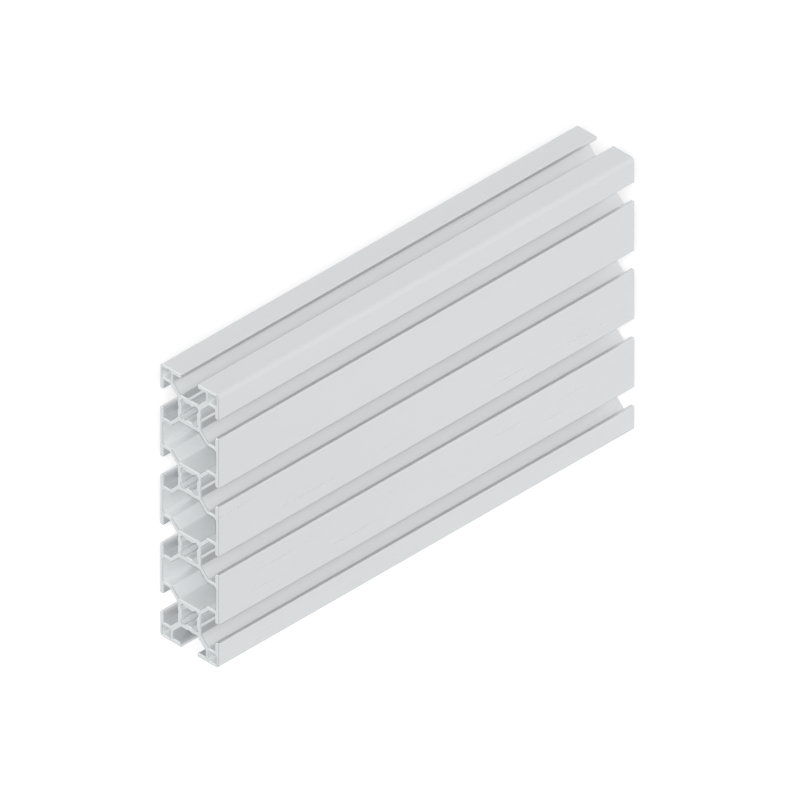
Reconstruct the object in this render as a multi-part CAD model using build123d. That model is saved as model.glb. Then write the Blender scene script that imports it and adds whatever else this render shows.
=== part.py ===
from build123d import *

import os
from math import sqrt

# A length of slotted aluminium profile, extruded in one piece and sawn square.
# X runs along the length, Y across the width and Z up the height. The piece
# stands on a narrow side, and the origin is in the middle of that side.

# Outer sizes, in millimetres
MODULE = 30.0  # side of one square module, and pitch of the slots
MODULES_HIGH = 4  # modules stacked up the height
LENGTH = 212.0  # from one sawn end to the other
CORNER_RADIUS = 1.8  # rounding of the four outer corners

# T-slot: a mouth between two lips, and a wider undercut behind them
MOUTH_WIDTH = 8.2
LIP_THICKNESS = 2.0
LIP_OUTER_RADIUS = 0.45  # on a lip's edge, where the slot opens
LIP_INNER_RADIUS = 0.9  # on its inner edge
UNDERCUT_WIDTH = 16.5
SLOT_DEPTH = 9.0
SLOT_CORNER_RADIUS = 0.4
GROOVE_WIDTH = 1.9  # shallow centring groove along the slot's floor
GROOVE_DEPTH = 0.35

# Walls and webs
WALL = 1.5  # outer walls and shelves around the chambers
CHAMBER_WEB = 1.85  # diagonal web between a slot and a chamber
CORNER_WEB = 2.55  # diagonal web from a core to an outer corner
CHAMBER_CORNER_RADIUS = 1.5
CHAMBER_BEND_RADIUS = 0.6
HOLLOW_OUTER_WALL = 1.25  # around the small hollow in each outer corner
HOLLOW_INNER_WALL = 1.35
HOLLOW_CORNER_RADIUS = 0.5

# Core bore: a round hole that takes a thread, opened by four lobes
BORE_DIAMETER = 7.4
LOBE_MOUTH_WIDTH = 2.8  # where a lobe leaves the round hole
LOBE_END_WIDTH = 1.6
LOBE_REACH = 5.5  # from the bore's axis to the end of a lobe
LOBE_CORNER_RADIUS = 0.3

# Sizes that follow from those above
HEIGHT = MODULE * MODULES_HIGH
HALF = MODULE / 2
CORE_HALF = HALF - SLOT_DEPTH
# A slot's sloping flanks run at 45 degrees, this far beside the module's diagonals
FLANK_OFFSET = CORNER_WEB / sqrt(2)
# and a chamber's webs lie one web's thickness further in
WEB_OFFSET = FLANK_OFFSET - CHAMBER_WEB * sqrt(2)


def slot_outline():
    """Corners of one slot as (along, depth, radius), in the order of the walk."""
    half_floor = CORE_HALF - FLANK_OFFSET
    flank_depth = HALF - UNDERCUT_WIDTH / 2 - FLANK_OFFSET
    second_half = [
        (GROOVE_WIDTH / 2, SLOT_DEPTH, 0),
        (half_floor, SLOT_DEPTH, SLOT_CORNER_RADIUS),
        (UNDERCUT_WIDTH / 2, flank_depth, SLOT_CORNER_RADIUS),
        (UNDERCUT_WIDTH / 2, LIP_THICKNESS, SLOT_CORNER_RADIUS),
        (MOUTH_WIDTH / 2, LIP_THICKNESS, LIP_INNER_RADIUS),
        (MOUTH_WIDTH / 2, 0, LIP_OUTER_RADIUS),
    ]
    first_half = [(-along, depth, radius) for along, depth, radius in reversed(second_half)]
    groove_bottom = [(0, SLOT_DEPTH + GROOVE_DEPTH, 0)]
    return first_half + groove_bottom + second_half


def outer_face():
    """The section without its hollows: its outline is walked anticlockwise, side by side."""
    sides = [
        (Vector(-HALF, 0), Vector(1, 0), 1),
        (Vector(HALF, 0), Vector(0, 1), MODULES_HIGH),
        (Vector(HALF, HEIGHT), Vector(-1, 0), 1),
        (Vector(-HALF, HEIGHT), Vector(0, -1), MODULES_HIGH),
    ]
    points = []
    radii = []
    for corner, direction, slots in sides:
        inward = direction.rotate(Axis.Z, 90)
        points.append(corner)
        radii.append(CORNER_RADIUS)
        for number in range(slots):
            slot_centre = (number + 0.5) * MODULE
            for along, depth, radius in slot_outline():
                points.append(corner + direction * (slot_centre + along) + inward * depth)
                radii.append(radius)
    return make_face(FilletPolyline(*points, radius=radii, close=True))


def rounded_face(outline):
    """A face from its corners as (x, y, radius)."""
    points = [(x, y) for x, y, _ in outline]
    radii = [radius for _, _, radius in outline]
    return make_face(FilletPolyline(*points, radius=radii, close=True))


def lobe_pair():
    """Two opposite lobes in one outline, which narrow from the round hole to their ends."""
    mouth_x = sqrt((BORE_DIAMETER / 2) ** 2 - (LOBE_MOUTH_WIDTH / 2) ** 2)
    upper = [
        (LOBE_REACH, LOBE_END_WIDTH / 2, LOBE_CORNER_RADIUS),
        (mouth_x, LOBE_MOUTH_WIDTH / 2, 0),
        (-mouth_x, LOBE_MOUTH_WIDTH / 2, 0),
        (-LOBE_REACH, LOBE_END_WIDTH / 2, LOBE_CORNER_RADIUS),
    ]
    return rounded_face(upper + [(-x, -y, radius) for x, y, radius in upper])


def core_bore():
    """The bore in a core: a round hole and four diagonal lobes."""
    lobes = lobe_pair()
    return Circle(BORE_DIAMETER / 2) + Rot(0, 0, 45) * lobes + Rot(0, 0, -45) * lobes


def chamber():
    """The hollow between two cores: low at the outer walls, tall between the cores."""
    wall_x = HALF - WALL
    shelf = UNDERCUT_WIDTH / 2 + WALL  # height of the shelf above a slot's centre
    corners = [
        (wall_x, HALF - shelf, CHAMBER_CORNER_RADIUS),
        (shelf + WEB_OFFSET, HALF - shelf, CHAMBER_BEND_RADIUS),
        (CORE_HALF + WEB_OFFSET, HALF - CORE_HALF, CHAMBER_BEND_RADIUS),
    ]
    upper = corners + [(-x, y, radius) for x, y, radius in reversed(corners)]
    return rounded_face(upper + [(-x, -y, radius) for x, y, radius in upper])


def corner_hollow():
    """The small box hollow in the upper right corner of the section."""
    side = HALF - UNDERCUT_WIDTH / 2 - HOLLOW_INNER_WALL - HOLLOW_OUTER_WALL
    inset = HOLLOW_OUTER_WALL + side / 2
    hollow = RectangleRounded(side, side, HOLLOW_CORNER_RADIUS)
    return Pos(HALF - inset, HEIGHT - inset) * hollow


def section():
    """The whole section in the YZ plane, standing on the Y axis."""
    face = outer_face()
    for number in range(MODULES_HIGH):
        face -= Pos(0, (number + 0.5) * MODULE) * core_bore()
    for number in range(1, MODULES_HIGH):
        face -= Pos(0, number * MODULE) * chamber()
    hollow = corner_hollow()
    pair = hollow + mirror(hollow, Plane.YZ)
    middle = Plane.XZ.offset(-HEIGHT / 2)
    return face - pair - mirror(pair, middle)


def slotted_profile():
    """The section carried along the length, half to each side of the origin."""
    return extrude(Plane.YZ * section(), amount=LENGTH / 2, both=True)


os.makedirs("parts", exist_ok=True)
export_step(slotted_profile(), "parts/slotted_profile.step")
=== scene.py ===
# %% [markdown]
# # A length of slotted aluminium profile
#
# The real thing is one piece. A heated billet is pressed through a die, so every millimetre of its
# length has the same section: ten T-slots, four cores with lobed bores, three wide chambers and four
# small corner hollows. Then it is anodised and sawn square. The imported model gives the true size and
# place, and this file gives it the surface that the press, the bath and the saw leave behind.

# %% Load the frame
from math import cos, pi, radians, sin

import bpy
import numpy as np
from mathutils import Matrix, Vector
from mathutils.geometry import tessellate_polygon


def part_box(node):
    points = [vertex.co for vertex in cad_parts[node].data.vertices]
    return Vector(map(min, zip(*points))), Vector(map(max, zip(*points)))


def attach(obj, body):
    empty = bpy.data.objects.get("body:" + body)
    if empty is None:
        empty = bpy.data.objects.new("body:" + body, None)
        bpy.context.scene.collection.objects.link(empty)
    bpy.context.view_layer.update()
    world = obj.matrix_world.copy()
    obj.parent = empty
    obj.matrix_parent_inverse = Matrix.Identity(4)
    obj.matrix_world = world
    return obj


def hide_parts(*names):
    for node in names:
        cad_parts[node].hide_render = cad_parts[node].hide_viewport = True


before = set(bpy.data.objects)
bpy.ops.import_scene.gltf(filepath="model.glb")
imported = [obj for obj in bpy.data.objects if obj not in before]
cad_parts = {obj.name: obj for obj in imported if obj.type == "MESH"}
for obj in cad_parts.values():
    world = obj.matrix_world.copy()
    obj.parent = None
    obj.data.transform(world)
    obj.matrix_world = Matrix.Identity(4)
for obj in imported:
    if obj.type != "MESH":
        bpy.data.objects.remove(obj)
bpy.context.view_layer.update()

# %% [markdown]
# ## Sizes
#
# The profile belongs to a family of 30 mm modules with 8 mm slots. Everything in its section follows
# from a few sizes, the same ones that the die was cut to. They are written here in millimetres,
# because a drawing of such a profile is read that way, and turned into metres as the mesh is built.

# %% Sizes of the section
MM = 0.001

low, high = (Vector(corner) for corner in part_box("slotted_profile"))
LENGTH = (high.x - low.x) / MM
MODULE = (high.y - low.y) / MM
HEIGHT = (high.z - low.z) / MM
MODULES_HIGH = round(HEIGHT / MODULE)
HALF = MODULE / 2

CORNER_RADIUS = 1.8
MOUTH_WIDTH = 8.2
LIP_THICKNESS = 2.0
LIP_OUTER_RADIUS = 0.45
LIP_INNER_RADIUS = 0.9
UNDERCUT_WIDTH = 16.5
SLOT_DEPTH = 9.0
SLOT_CORNER_RADIUS = 0.4
GROOVE_WIDTH = 1.9
GROOVE_DEPTH = 0.35

WALL = 1.5
CHAMBER_WEB = 1.85
CORNER_WEB = 2.55
CHAMBER_CORNER_RADIUS = 1.5
CHAMBER_BEND_RADIUS = 0.6
HOLLOW_OUTER_WALL = 1.25
HOLLOW_INNER_WALL = 1.35
HOLLOW_CORNER_RADIUS = 0.5

BORE_DIAMETER = 7.4
LOBE_MOUTH_WIDTH = 2.8
LOBE_END_WIDTH = 1.6
LOBE_REACH = 5.5
LOBE_CORNER_RADIUS = 0.3

CORE_HALF = HALF - SLOT_DEPTH
FLANK_OFFSET = CORNER_WEB / np.sqrt(2)
WEB_OFFSET = FLANK_OFFSET - CHAMBER_WEB * np.sqrt(2)
print(f"section {MODULE:.0f} by {HEIGHT:.0f} mm, {MODULES_HIGH} modules, length {LENGTH:.0f} mm")

# %% [markdown]
# ## A rounded outline
#
# A die has no perfectly sharp corners: metal flows round a small radius. Blender could bevel the
# corners of a finished mesh, but the outline is easier to control while it is still flat, and its
# exact normals come for free. So one function rounds a whole list of corners at once.

# %% Round the corners of an outline
ARC_STEPS = 9


def rounded(corners):
    """Points of a closed outline, with the normal before and after each point.

    corners is rows of (y, z, radius), walked with the metal on the left. An edge's normal is its
    direction turned a quarter to the right. The arc's centre is where the two edges would meet if
    both were shifted by the radius, and the arc is the centre plus the radius times a direction
    that turns evenly from one edge's normal to the other's. A sharp corner is an arc of no radius.
    """
    corners = np.asarray(corners, float)
    point, radius = corners[:, :2], corners[:, 2]
    edge = np.roll(point, -1, axis=0) - point
    edge /= np.linalg.norm(edge, axis=1)[:, None]
    after = np.stack([edge[:, 1], -edge[:, 0]], axis=1)
    before = np.roll(after, 1, axis=0)

    cosine = np.sum(before * after, axis=1)
    turn = np.arctan2(before[:, 0] * after[:, 1] - before[:, 1] * after[:, 0], cosine)
    step = np.linspace(0, 1, ARC_STEPS)
    angle = np.arctan2(before[:, 1], before[:, 0])[:, None] + turn[:, None] * step
    normal = np.stack([np.cos(angle), np.sin(angle)], axis=2)

    signed = (np.sign(turn) * radius)[:, None]
    centre = point - signed * (before + after) / (1 + cosine)[:, None]
    arc = centre[:, None] + signed[:, None] * normal

    sharp = radius == 0
    keep = np.ones(arc.shape[:2], bool)
    keep[sharp, 1:] = False
    normal_after = normal.copy()
    normal_after[sharp, 0] = after[sharp]
    return arc[keep], normal[keep], normal_after[keep]


# %% [markdown]
# ## The outline of the section
#
# The outer outline is walked once around, anticlockwise, and each face drops into its slots on the
# way. A slot goes in over a rounded lip, widens behind it, closes at 45 degrees down to a narrow
# floor, and has a small groove in the middle of that floor, where a drill would be centred.

# %% Walk round the outside
def slot_corners():
    """One slot as rows of (distance along the face, depth, radius)."""
    half_floor = CORE_HALF - FLANK_OFFSET
    flank_depth = HALF - UNDERCUT_WIDTH / 2 - FLANK_OFFSET
    second = np.array([
        (GROOVE_WIDTH / 2, SLOT_DEPTH, 0),
        (half_floor, SLOT_DEPTH, SLOT_CORNER_RADIUS),
        (UNDERCUT_WIDTH / 2, flank_depth, SLOT_CORNER_RADIUS),
        (UNDERCUT_WIDTH / 2, LIP_THICKNESS, SLOT_CORNER_RADIUS),
        (MOUTH_WIDTH / 2, LIP_THICKNESS, LIP_INNER_RADIUS),
        (MOUTH_WIDTH / 2, 0, LIP_OUTER_RADIUS),
    ])
    first = second[::-1] * (-1, 1, 1)
    groove = [(0, SLOT_DEPTH + GROOVE_DEPTH, 0)]
    return np.vstack([first, groove, second])


def outside_corners():
    """The four faces in turn, each one starting at its corner and dropping into its slots."""
    slot = slot_corners()
    sides = [
        ((-HALF, 0), (1, 0), 1),
        ((HALF, 0), (0, 1), MODULES_HIGH),
        ((HALF, HEIGHT), (-1, 0), 1),
        ((-HALF, HEIGHT), (0, -1), MODULES_HIGH),
    ]
    rows = []
    for corner, (dy, dz), slots in sides:
        rows.append([(*corner, CORNER_RADIUS)])
        for number in range(slots):
            along = (number + 0.5) * MODULE + slot[:, 0]
            y = corner[0] + along * dy - slot[:, 1] * dz
            z = corner[1] + along * dz + slot[:, 1] * dy
            rows.append(np.stack([y, z, slot[:, 2]], axis=1))
    return np.vstack(rows)


outside = rounded(outside_corners())
print("points round the outside:", len(outside[0]))

# %% [markdown]
# ## The hollows
#
# Hollows are made in the die by a mandrel that hangs inside it. They are walked clockwise, so that
# the metal is again on the left and their normals point into the empty space.

# %% Walk round the hollows
def chamber_corners(centre_z):
    """The hollow between two cores: low at the outer walls, tall between the cores."""
    wall_y = HALF - WALL
    shelf = UNDERCUT_WIDTH / 2 + WALL
    quarter = np.array([
        (wall_y, HALF - shelf, CHAMBER_CORNER_RADIUS),
        (shelf + WEB_OFFSET, HALF - shelf, CHAMBER_BEND_RADIUS),
        (CORE_HALF + WEB_OFFSET, HALF - CORE_HALF, CHAMBER_BEND_RADIUS),
    ])
    upper = np.vstack([quarter, quarter[::-1] * (-1, 1, 1)])
    outline = np.vstack([upper, upper * (-1, -1, 1)])
    return outline[::-1] + (0, centre_z, 0)


def hollow_corners(side_y, side_z):
    """The small square hollow in an outer corner, given by which way it lies from the middle."""
    side = HALF - UNDERCUT_WIDTH / 2 - HOLLOW_INNER_WALL - HOLLOW_OUTER_WALL
    centre = HALF - HOLLOW_OUTER_WALL - side / 2
    square = np.array([(-1, -1), (-1, 1), (1, 1), (1, -1)]) * side / 2
    centre_z = HEIGHT / 2 + side_z * (HEIGHT / 2 - HALF + centre)
    shifted = square + (side_y * centre, centre_z)
    return np.hstack([shifted, np.full((4, 1), HOLLOW_CORNER_RADIUS)])


# %% The lobed bore
LOBES = 4
BORE_ARC_POINTS = 10


def bore_outline(centre_z):
    """The bore in a core: a circle, left along each diagonal for a lobe that narrows to its end.

    A quarter is a lobe's two rounded corners and the arc to the next lobe, which starts and ends
    half a lobe mouth's width from the diagonals. The quarter is turned to each diagonal, and on its
    arc the normal points to the axis.
    """
    radius = BORE_DIAMETER / 2
    half_lobe = np.arcsin(LOBE_MOUTH_WIDTH / 2 / radius)
    angle = np.linspace(-half_lobe, half_lobe - 2 * pi / LOBES, BORE_ARC_POINTS)
    lobe_end = [(LOBE_REACH, side * LOBE_END_WIDTH / 2, LOBE_CORNER_RADIUS) for side in (1, -1)]
    arc = np.column_stack([radius * np.cos(angle), radius * np.sin(angle), 0 * angle])
    quarter = np.vstack([lobe_end, arc])

    turns = pi / LOBES - 2 * pi / LOBES * np.arange(LOBES)
    spins = [np.array([(cos(a), sin(a), 0), (-sin(a), cos(a), 0), (0, 0, 1)]) for a in turns]
    outline = rounded(np.vstack([quarter @ spin for spin in spins]))
    point, before, after = (rows.reshape(LOBES, -1, 2) for rows in outline)
    to_axis = -point / radius
    before[:, 1 - BORE_ARC_POINTS:] = to_axis[:, 1 - BORE_ARC_POINTS:]
    after[:, -BORE_ARC_POINTS:-1] = to_axis[:, -BORE_ARC_POINTS:-1]
    return (point + (0, centre_z)).reshape(-1, 2), before.reshape(-1, 2), after.reshape(-1, 2)


module_centres = (np.arange(MODULES_HIGH) + 0.5) * MODULE
chamber_centres = np.arange(1, MODULES_HIGH) * MODULE
hollows = [bore_outline(z) for z in module_centres]
hollows += [rounded(chamber_corners(z)) for z in chamber_centres]
hollows += [rounded(hollow_corners(y, z)) for y in (-1, 1) for z in (-1, 1)]
print("hollows in the section:", len(hollows))

# %% [markdown]
# ## Carry the section along its length
#
# The surface has two parameters: one runs round the outline, the other along the length. Blender
# could extrude the outline as a curve, but then its shading would have to guess where the metal is
# smooth. Here each face corner gets the normal that the formula gives, so a 0.4 mm corner shades as
# a true arc. A sawn end is never left razor sharp either, it gets a light pass with a file: at each
# end the outline goes into the metal at 45 degrees, and that narrow flat catches a line of light.
# A station is a place along the length where a copy of the outline stands, set in by its inset, and
# between two stations runs a strip, which leans outwards by its tilt.

# %% The stations along the length
EDGE_BREAK = 0.25
FILED_FROM = LENGTH / 2 - EDGE_BREAK
STATION_X = np.array([-LENGTH / 2, -FILED_FROM, FILED_FROM, LENGTH / 2])
STATION_INSET = np.array([EDGE_BREAK, 0, 0, EDGE_BREAK])
STRIP_TILTS = np.array([-pi / 4, 0, pi / 4])
print("stations at x, in mm:", STATION_X)

# %% Sweep one outline
def mitre(outline):
    """How far each point moves when both of the edges that meet there move in by one.

    It is the sum of the two normals, divided by one more than the cosine between them.
    """
    _, before, after = outline
    return (before + after) / (1 + np.sum(before * after, axis=1))[:, None]


def swept_points(outline):
    """Point (i, j) is station i's x, and outline point j less station i's inset times its mitre."""
    section = outline[0] - STATION_INSET[:, None, None] * mitre(outline)
    x = np.broadcast_to(STATION_X[:, None, None], (*section.shape[:2], 1))
    return np.concatenate([x, section], axis=2).reshape(-1, 3)


def swept_faces(columns):
    """Four-sided faces between neighbouring stations, closed round the outline."""
    here = np.arange(columns)
    there = np.roll(here, -1)
    start = np.arange(len(STRIP_TILTS))[:, None] * columns
    corners = [start + here, start + there, start + columns + there, start + columns + here]
    return np.stack(corners, axis=2).reshape(-1, 4)


def swept_normals(outline):
    """Normals at the faces' corners: the outline's own normal, tilted with its strip.

    The normal is the sine of the strip's tilt along x, and the outline's normal times the cosine. A
    face starts with the normal after its first point and ends with the one before its second, so
    two faces that meet at a sharp corner keep their own.
    """
    _, before, after = outline
    tilt = STRIP_TILTS[:, None, None]

    def tilted(flat):
        x = np.broadcast_to(np.sin(tilt), (len(tilt), len(flat), 1))
        return np.concatenate([x, np.cos(tilt) * flat], axis=2)

    leaving, arriving = tilted(after), tilted(np.roll(before, -1, axis=0))
    return np.stack([leaving, arriving, arriving, leaving], axis=2).reshape(-1, 4, 3)


# %% [markdown]
# ## Close the ends
#
# A sawn end is one flat plane with holes in it. A boolean could cut them, but Blender's polygon
# filler takes the outer outline and the holes as plain lists and gives back triangles, so nothing
# has to be merged or cleaned, and each triangle uses the points that the sweep already has.

# %% Fill one sawn end
END_SIDES = (-1, 1)


def end_triangles(outlines, starts, side):
    """Triangles between the outer outline and the hollows, at the end on this side of the middle."""
    station = 0 if side < 0 else len(STATION_X) - 1
    loops, numbers = [], []
    for outline, start in zip(outlines, starts):
        edge = outline[0] - EDGE_BREAK * mitre(outline)
        loops.append(np.column_stack([edge, np.zeros(len(edge))]).tolist())
        numbers.append(start + station * len(edge) + np.arange(len(edge)))
    return np.concatenate(numbers)[np.array(tessellate_polygon(loops))]


def turned_outwards(triangles, points, side):
    """The same triangles, each listed so that its face looks away from the metal."""
    a, b, c = points[triangles].transpose(1, 0, 2)
    wrong = np.cross(b - a, c - a)[:, 0] * side < 0
    return np.where(wrong[:, None], triangles[:, ::-1], triangles)


# %% [markdown]
# ## One mesh, five surfaces
#
# It stays one mesh, because the real thing is one piece of metal. Its faces differ in what was
# done to them and in painted light and shade, and that is what material slots are for: the long
# faces and T-slots, which the bath reached freely, the narrow bores, the wider hollows, the bare cut
# of the saw, and the filed edge around it.

# %% Build the mesh
LONG_FACES, BORE_WALLS, HOLLOW_WALLS, SAWN_END, FILED_EDGE = range(5)
WIDER_HOLLOWS = len(hollows) - MODULES_HIGH
WALL_SURFACES = [LONG_FACES] + [BORE_WALLS] * MODULES_HIGH + [HOLLOW_WALLS] * WIDER_HOLLOWS


def surface_numbers(outlines):
    """The material of each swept face: the strips at both ends are filed."""
    numbers = []
    for surface, outline in zip(WALL_SURFACES, outlines):
        wall = np.full((len(STRIP_TILTS), len(outline[0])), surface)
        wall[[0, -1]] = FILED_EDGE
        numbers.append(wall.ravel())
    return np.concatenate(numbers)


def profile_mesh(outlines):
    """Every outline swept from end to end, and the two sawn ends filled in between."""
    sheets = [swept_points(outline) for outline in outlines]
    starts = np.cumsum([0] + [len(sheet) for sheet in sheets[:-1]])
    points = np.vstack(sheets) * MM
    walls = [swept_faces(len(outline[0])) + start for outline, start in zip(outlines, starts)]
    caps = [turned_outwards(end_triangles(outlines, starts, side), points, side) for side in END_SIDES]
    cap_normals = [np.tile((side, 0.0, 0.0), (cap.size, 1)) for side, cap in zip(END_SIDES, caps)]

    mesh = bpy.data.meshes.new("extruded_profile")
    mesh.from_pydata(points.tolist(), [], np.vstack(walls).tolist() + np.vstack(caps).tolist())
    ends = np.full(sum(len(cap) for cap in caps), SAWN_END)
    surface = np.concatenate([surface_numbers(outlines), ends]).astype(np.int32)
    mesh.polygons.foreach_set("material_index", surface)
    mesh.polygons.foreach_set("use_smooth", np.ones(len(surface), bool))
    wall_normals = np.vstack([swept_normals(outline).reshape(-1, 3) for outline in outlines])
    mesh.normals_split_custom_set(np.vstack([wall_normals, *cap_normals]).tolist())
    mesh.update()
    return mesh


profile = bpy.data.objects.new("extruded_profile", profile_mesh([outside, *hollows]))
bpy.context.scene.collection.objects.link(profile)
print("faces in the profile:", len(profile.data.polygons))

# %% [markdown]
# ## Die lines
#
# The bearing of a die is polished, but never perfect. Its small scratches draw lines along the whole
# length of the metal, and even after matt etching and anodising they show as faint streaks: a little
# lighter and darker, a little smoother and rougher. The closed hollows show them more, because
# nobody brushes a hollow. Noise can make them: on the object's own coordinates, squeezed hard along
# the length, a noise texture turns into long streaks. Three surfaces use it, so it is a node group.

# %% Helpers for a node group
def new_group(name, share):
    """An empty node group that reads a place and one share, and gives a shade and a height."""
    group = bpy.data.node_groups.new(name, "ShaderNodeTree")
    group.interface.new_socket("Place", in_out="INPUT", socket_type="NodeSocketVector")
    group.interface.new_socket(share, in_out="INPUT", socket_type="NodeSocketFloat")
    for output in ("Shade", "Height"):
        group.interface.new_socket(output, in_out="OUTPUT", socket_type="NodeSocketFloat")
    return group, group.nodes.new("NodeGroupInput"), group.nodes.new("NodeGroupOutput")


def plug(tree, socket, source):
    """Feed an input from another node's output, or set it to a number."""
    if isinstance(source, bpy.types.NodeSocket):
        tree.links.new(source, socket)
    else:
        socket.default_value = source


def mixed(tree, factor, first, second):
    """A value between two others: the first where the factor is zero, the second where it is one."""
    node = tree.nodes.new("ShaderNodeMix")
    for name, source in {"Factor": factor, "A": first, "B": second}.items():
        plug(tree, node.inputs[name], source)
    return node.outputs["Result"]


def noise(tree, place, mark_size, detail, roughness=0.5):
    """Noise whose marks have about this size along x, y and z, in metres. It varies about one half."""
    node = tree.nodes.new("ShaderNodeTexNoise")
    node.inputs["Scale"].default_value = 1.0
    node.inputs["Detail"].default_value = detail
    node.inputs["Roughness"].default_value = roughness
    shrink = tree.nodes.new("ShaderNodeMapping")
    shrink.inputs["Scale"].default_value = tuple(1 / length for length in mark_size)
    tree.links.new(place, shrink.inputs["Vector"])
    tree.links.new(shrink.outputs["Vector"], node.inputs["Vector"])
    return node.outputs["Fac"]


# %% The node group for die lines
BAND_SIZE = (0.4, 0.0035, 0.0035)
LINE_SIZE = (0.12, 0.00045, 0.00045)


def die_line_group():
    """Streaks along the length: broad soft bands with fine lines on them, and the lines' height."""
    group, given, result = new_group("die_lines", "Fine Share")
    bands = noise(group, given.outputs["Place"], BAND_SIZE, detail=1.0)
    lines = noise(group, given.outputs["Place"], LINE_SIZE, detail=2.0)
    shade = mixed(group, given.outputs["Fine Share"], bands, lines)
    group.links.new(shade, result.inputs["Shade"])
    group.links.new(lines, result.inputs["Height"])
    return group


die_lines = die_line_group()
print("die lines are about", LINE_SIZE[1] / MM, "mm wide")

# %% [markdown]
# ## The etched grain
#
# Before anodising, natural satin profiles are etched in caustic soda. It eats the surface into
# pits far smaller than a millimetre, so the metal turns from a mirror into an even grey that glitters
# only close by. One fine noise gives the pits, and one coarse noise gives the cloudy patches that
# the bath leaves. A voronoi texture would make round dimples, which etched metal doesn't have.

# %% The node group for the etched grain
PIT_SIZE = (0.00022, 0.00022, 0.00022)
CLOUD_SIZE = (0.03, 0.012, 0.012)


def etched_grain_group():
    """Fine pits with cloudy patches: the shade of both, and the height of the pits."""
    group, given, result = new_group("etched_grain", "Cloud Share")
    pits = noise(group, given.outputs["Place"], PIT_SIZE, detail=2.0, roughness=0.65)
    clouds = noise(group, given.outputs["Place"], CLOUD_SIZE, detail=3.0)
    shade = mixed(group, given.outputs["Cloud Share"], pits, clouds)
    group.links.new(shade, result.inputs["Shade"])
    group.links.new(pits, result.inputs["Height"])
    return group


etched_grain = etched_grain_group()
print("etched pits are about", PIT_SIZE[0] / MM, "mm wide")

# %% [markdown]
# ## The anodised finish
#
# Anodised satin aluminium scatters far more light than it mirrors, because a clear oxide layer lies
# on etched metal. That is why it is a Principled shader that isn't fully metallic. The shades of the
# two groups are mixed, and the result picks a colour between a darker and a lighter one and moves
# the roughness a little. The heights go through a Bump node, so light breaks on the lines. The walls
# of the hollows get the same finish with stronger lines, and they are rougher and much paler than the
# long faces: the paler colour is painted light, which keeps them bright to their back. The bores get
# painted light too, but less of it, so they stay greyer than the hollows.

# %% Nodes that the finishes share
NOISE_LOW, NOISE_HIGH = 0.3, 0.7


def coloured(tree, shade, dark, light):
    """A colour between two. Noise seldom leaves its middle range, so that range takes them all."""
    ramp = tree.nodes.new("ShaderNodeValToRGB")
    for stop, value, colour in zip(ramp.color_ramp.elements, (NOISE_LOW, NOISE_HIGH), (dark, light)):
        stop.position = value
        stop.color = (*colour, 1)
    tree.links.new(shade, ramp.inputs["Fac"])
    return ramp.outputs["Color"]


def ranged(tree, shade, lowest, highest):
    """A value between two, over the same middle range of the noise."""
    node = tree.nodes.new("ShaderNodeMapRange")
    limits = {"From Min": NOISE_LOW, "From Max": NOISE_HIGH, "To Min": lowest, "To Max": highest}
    for name, value in limits.items():
        node.inputs[name].default_value = value
    tree.links.new(shade, node.inputs["Value"])
    return node.outputs["Result"]


def bumped(tree, height, depth):
    """The normal of a surface whose height from 0 to 1 is this deep, in metres."""
    node = tree.nodes.new("ShaderNodeBump")
    node.inputs["Distance"].default_value = depth
    tree.links.new(height, node.inputs["Height"])
    return node.outputs["Normal"]


def placed(tree, group, place, share, value):
    """A node group in a material, with the place that it reads and the value of its named share."""
    node = tree.nodes.new("ShaderNodeGroup")
    node.node_tree = group
    tree.links.new(place, node.inputs["Place"])
    node.inputs[share].default_value = value
    return node.outputs


# %% What every finish on the metal starts and ends with
def new_finish(name):
    """A material, its node tree and the object's own coordinates."""
    material = bpy.data.materials.new(name)
    material.use_nodes = True
    tree = material.node_tree
    return material, tree, tree.nodes.new("ShaderNodeTexCoord").outputs["Object"]


def laid_on(tree, shade, height, dark, light, metallic, roughness, depth):
    """Let the shade choose the colour and the roughness, and the height tilt the normal."""
    inputs = tree.nodes["Principled BSDF"].inputs
    inputs["Metallic"].default_value = metallic
    tree.links.new(coloured(tree, shade, dark, light), inputs["Base Color"])
    tree.links.new(ranged(tree, shade, *roughness), inputs["Roughness"])
    tree.links.new(bumped(tree, height, depth), inputs["Normal"])


# %% The anodised long faces and the walls of the hollows
FINE_LINE_SHARE = 0.5
CLOUD_SHARE = 0.6


def anodised(name, line_share, **look):
    """Die lines over etched grain: line_share is how much of the shade comes from the lines.

    The look is the two colours, the metallic share, the range of roughness and the relief's depth.
    """
    material, tree, place = new_finish(name)
    lines = placed(tree, die_lines, place, "Fine Share", FINE_LINE_SHARE)
    grain = placed(tree, etched_grain, place, "Cloud Share", CLOUD_SHARE)
    shade = mixed(tree, line_share, grain["Shade"], lines["Shade"])
    height = mixed(tree, line_share, grain["Height"], lines["Height"])
    laid_on(tree, shade, height, **look)
    return material


satin = anodised(
    "anodised_satin", line_share=0.45, metallic=0.45, roughness=(0.26, 0.34), depth=2.5e-6,
    dark=(0.643, 0.657, 0.669), light=(0.663, 0.676, 0.688),
)
# The bore walls' colours are paler than the long faces': painted light, less of it than in the hollows.
bore = anodised(
    "anodised_bore_painted_light", line_share=0.75, metallic=0.30, roughness=(0.30, 0.40), depth=8e-6,
    dark=(0.735, 0.755, 0.765), light=(0.785, 0.805, 0.815),
)
# The hollow walls' colours are much paler than the long faces': painted light.
hollow = anodised(
    "anodised_hollow_painted_light", line_share=0.75, metallic=0.25, roughness=(0.38, 0.48), depth=8e-6,
    dark=(0.772, 0.794, 0.804), light=(0.816, 0.836, 0.846),
)
print("three anodised finishes:", satin.name, bore.name, hollow.name)
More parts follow.
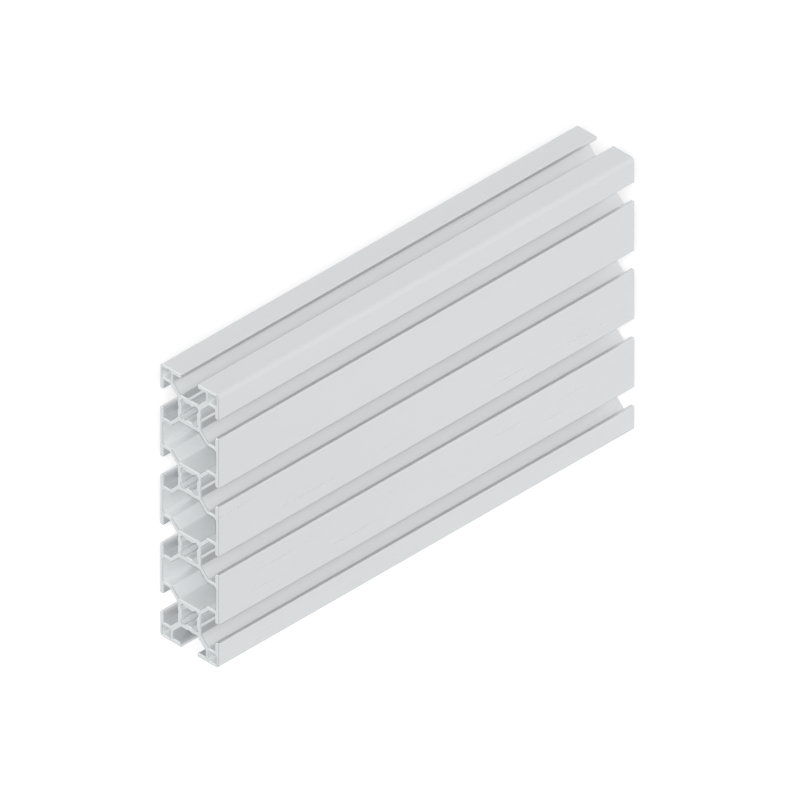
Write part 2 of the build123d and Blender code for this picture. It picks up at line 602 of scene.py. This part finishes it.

# %% [markdown]
# ## The sawn end
#
# A circular saw with carbide teeth leaves shallow arcs, all struck from the place where the blade's
# axis was, well outside the metal. So the pattern is the distance from that axis: a one-dimensional
# noise of the distance gives rings that are uneven, as real tooth marks are, where a wave texture
# would give rings like a record's. The cut comes after anodising, so it is bare, brighter metal. The
# file that takes off the burr drags fine grit along, so the edge that it leaves is shallower than the
# cut. Its darker colour is painted shade, which draws a thin dark line along the filed edges.

# %% The finish of the cut
BLADE_AXIS = (0.0, 0.11, -0.09)
TOOTH_MARK = 0.0007
FEED_BAND = 0.006
FEED_SHARE = 0.35
CUT_CLOUD_SHARE = 0.3
ARC_SHADE_SHARE = 0.7
ARC_HEIGHT_SHARE = 0.8


def rings(tree, distance, spacing, detail):
    """Noise of one dimension, the distance divided by the spacing of the rings."""
    node = tree.nodes.new("ShaderNodeTexNoise")
    node.noise_dimensions = "1D"
    node.inputs["Scale"].default_value = 1 / spacing
    node.inputs["Detail"].default_value = detail
    tree.links.new(distance, node.inputs["W"])
    return node.outputs["Fac"]


def sawn(name, **look):
    """Arcs about the blade's axis, over the metal's own fine grain."""
    material, tree, place = new_finish(name)
    centred = tree.nodes.new("ShaderNodeMapping")
    centred.vector_type = "TEXTURE"
    centred.inputs["Location"].default_value = BLADE_AXIS
    flat = tree.nodes.new("ShaderNodeVectorMath")
    flat.operation = "MULTIPLY"
    flat.inputs[1].default_value = (0, 1, 1)
    length = tree.nodes.new("ShaderNodeVectorMath")
    length.operation = "LENGTH"
    tree.links.new(place, centred.inputs["Vector"])
    tree.links.new(centred.outputs["Vector"], flat.inputs[0])
    tree.links.new(flat.outputs["Vector"], length.inputs[0])

    tooth_marks = rings(tree, length.outputs["Value"], TOOTH_MARK, detail=3.0)
    feed_bands = rings(tree, length.outputs["Value"], FEED_BAND, detail=1.0)
    grain = placed(tree, etched_grain, place, "Cloud Share", CUT_CLOUD_SHARE)
    marks = mixed(tree, FEED_SHARE, tooth_marks, feed_bands)
    shade = mixed(tree, ARC_SHADE_SHARE, grain["Shade"], marks)
    height = mixed(tree, ARC_HEIGHT_SHARE, grain["Height"], tooth_marks)
    laid_on(tree, shade, height, **look)
    return material


bare_cut = sawn(
    "sawn_end", metallic=0.65, roughness=(0.30, 0.40), depth=6e-6,
    dark=(0.625, 0.650, 0.661), light=(0.660, 0.685, 0.697),
)
# The filed edge's darker colours are painted shade: a thin dark line along the cut's edges.
filed = sawn(
    "filed_edge_painted_shade", metallic=1.0, roughness=(0.18, 0.26), depth=3e-6,
    dark=(0.500, 0.520, 0.530), light=(0.540, 0.560, 0.570),
)
print("two finishes at the ends:", bare_cut.name, filed.name)

# %% Give the profile its materials and its place in the frame
for material in (satin, bore, hollow, bare_cut, filed):
    profile.data.materials.append(material)

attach(profile, "root")
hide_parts("slotted_profile")
print("materials on the profile:", [material.name for material in profile.data.materials])

# %% [markdown]
# ## Floor and light
#
# The photo is a product picture: white all round, with no hard shadow. Some of the light is the white
# studio itself, which reaches into a slot only as far as the slot is open. The larger part is a lamp
# beside the camera, which is why the photo's hollows are bright to their back. A weaker lamp behind
# the piece does the same for its other side. Together they light a face so that its colour comes out
# about as it is written. A third lamp, wide and weak, stands where the filed edges above the cut mirror
# it, and draws the thin white lines there. The floor and the studio are plain white to the camera and
# in reflections, and the floor still keeps the soft shadow where the metal stands on it.

# %% The studio and the floor
STUDIO_SHARE = 0.38
WHITE = (1, 1, 1, 1)
PAPER_COLOUR = (0.60, 0.60, 0.60, 1)
PAPER_ROUGHNESS = 0.9
PAPER_GLOW = 0.5
FLOOR_SIZE = 8


def math_node(tree, operation, first, second):
    """A Math node with two inputs."""
    node = tree.nodes.new("ShaderNodeMath")
    node.operation = operation
    plug(tree, node.inputs[0], first)
    plug(tree, node.inputs[1], second)
    return node.outputs[0]


def seen_directly(tree):
    """One for what the camera, a reflection or a clear material sees, and zero for plain light."""
    path = tree.nodes.new("ShaderNodeLightPath")
    rays = [path.outputs[f"Is {kind} Ray"] for kind in ("Camera", "Glossy", "Transmission")]
    return math_node(tree, "MAXIMUM", math_node(tree, "MAXIMUM", rays[0], rays[1]), rays[2])


def floor_material():
    """Matt white paper, with a glow that only what sees it directly gets."""
    material = bpy.data.materials.new("studio_paper")
    material.use_nodes = True
    tree = material.node_tree
    inputs = tree.nodes["Principled BSDF"].inputs
    inputs["Base Color"].default_value = PAPER_COLOUR
    inputs["Roughness"].default_value = PAPER_ROUGHNESS
    inputs["Specular IOR Level"].default_value = 0.0
    inputs["Emission Color"].default_value = WHITE
    glow = math_node(tree, "MULTIPLY", seen_directly(tree), PAPER_GLOW)
    tree.links.new(glow, inputs["Emission Strength"])
    return material


def studio_world():
    """White at full strength where it is seen directly, and at its share of the light elsewhere."""
    world = bpy.data.worlds.new("studio")
    world.use_nodes = True
    tree = world.node_tree
    background = tree.nodes["Background"]
    background.inputs["Color"].default_value = WHITE
    extra = math_node(tree, "MULTIPLY", seen_directly(tree), 1 - STUDIO_SHARE)
    tree.links.new(math_node(tree, "ADD", extra, STUDIO_SHARE), background.inputs["Strength"])
    return world


bpy.context.scene.world = studio_world()
bpy.ops.mesh.primitive_plane_add(size=FLOOR_SIZE)
floor = bpy.context.object
floor.name = "floor"
floor.data.materials.append(floor_material())
print("the studio gives", STUDIO_SHARE, "of the light")

# %% The lamps
VIEW_AZIMUTH, VIEW_ELEVATION = radians(-45), radians(35)
FRONT, BEHIND = Vector((0, -1, 0)), Vector((0, 1, 0))


def towards(azimuth, elevation):
    """The direction from the piece to a viewer or lamp, azimuth turning from the front."""
    flat = cos(elevation)
    return Vector((sin(azimuth) * flat, -cos(azimuth) * flat, sin(elevation)))


def distant_lamp(name, direction, width, strength):
    """A sun that is seen this wide, as an angle, from the piece."""
    data = bpy.data.lights.new(name, "SUN")
    data.energy = strength
    data.angle = width
    lamp = bpy.data.objects.new(name, data)
    lamp.rotation_euler = direction.to_track_quat("Z", "Y").to_euler()
    bpy.context.scene.collection.objects.link(lamp)
    print(f"{name}: {strength:.2f}")
    return lamp


def soft_lamp(name, direction, width, share, facing):
    """A lamp that lights a face by its share of plain light, and that doesn't glare in the metal.

    Its strength is pi times the share, divided by the cosine between the lamp's direction and the
    face's normal.
    """
    lamp = distant_lamp(name, direction, width, pi * share / direction.dot(facing))
    lamp.visible_glossy = False


def edge_lamp(name, direction, width, brightness):
    """A lamp that only shows in the metal, where an edge turns it towards the camera.

    Its strength is pi times its brightness times the squared sine of half its width.
    """
    lamp = distant_lamp(name, direction, width, pi * brightness * sin(width / 2) ** 2)
    lamp.visible_diffuse = False


to_camera = towards(VIEW_AZIMUTH, VIEW_ELEVATION)
left_of_camera = towards(VIEW_AZIMUTH - pi / 2, VIEW_ELEVATION)
behind_piece = towards(radians(140), radians(6))
soft_lamp("camera_side_lamp", to_camera, width=radians(3), share=0.54, facing=FRONT)
soft_lamp("far_side_lamp", behind_piece, width=radians(40), share=0.3, facing=BEHIND)
edge_lamp("upper_edge_lamp", left_of_camera, width=radians(60), brightness=0.62)

# %% [markdown]
# ## The camera
#
# The photo's parallel edges stay parallel, so its camera is as good as infinitely far away. Blender
# has that exactly, as an orthographic camera, and its scale is simply the photo's pixels for each
# metre. The turn and the tilt come from the slopes of the three edges that meet at a corner, and a
# small shift puts the piece where it lies in the photo, which isn't quite in the middle.

# %% Place the camera
PIXELS_PER_METRE = 2776
IMAGE_WIDTH = 800
SIDE_SHIFT, UP_SHIFT = 0.99 * MM, -1.25 * MM
CAMERA_DISTANCE = 1.2

right = Vector((cos(VIEW_AZIMUTH), sin(VIEW_AZIMUTH), 0))
up = to_camera.cross(right)
camera = bpy.data.objects.new("camera", bpy.data.cameras.new("camera"))
camera.data.type = "ORTHO"
camera.data.ortho_scale = IMAGE_WIDTH / PIXELS_PER_METRE
stand = (low + high) / 2 + to_camera * CAMERA_DISTANCE + right * SIDE_SHIFT + up * UP_SHIFT
turned = Matrix((right, up, to_camera)).transposed().to_4x4()
camera.matrix_world = Matrix.Translation(stand) @ turned
bpy.context.scene.collection.objects.link(camera)
bpy.context.scene.camera = camera
bpy.context.scene.view_settings.view_transform = "Standard"
print(f"the picture is {camera.data.ortho_scale / MM:.0f} mm wide")
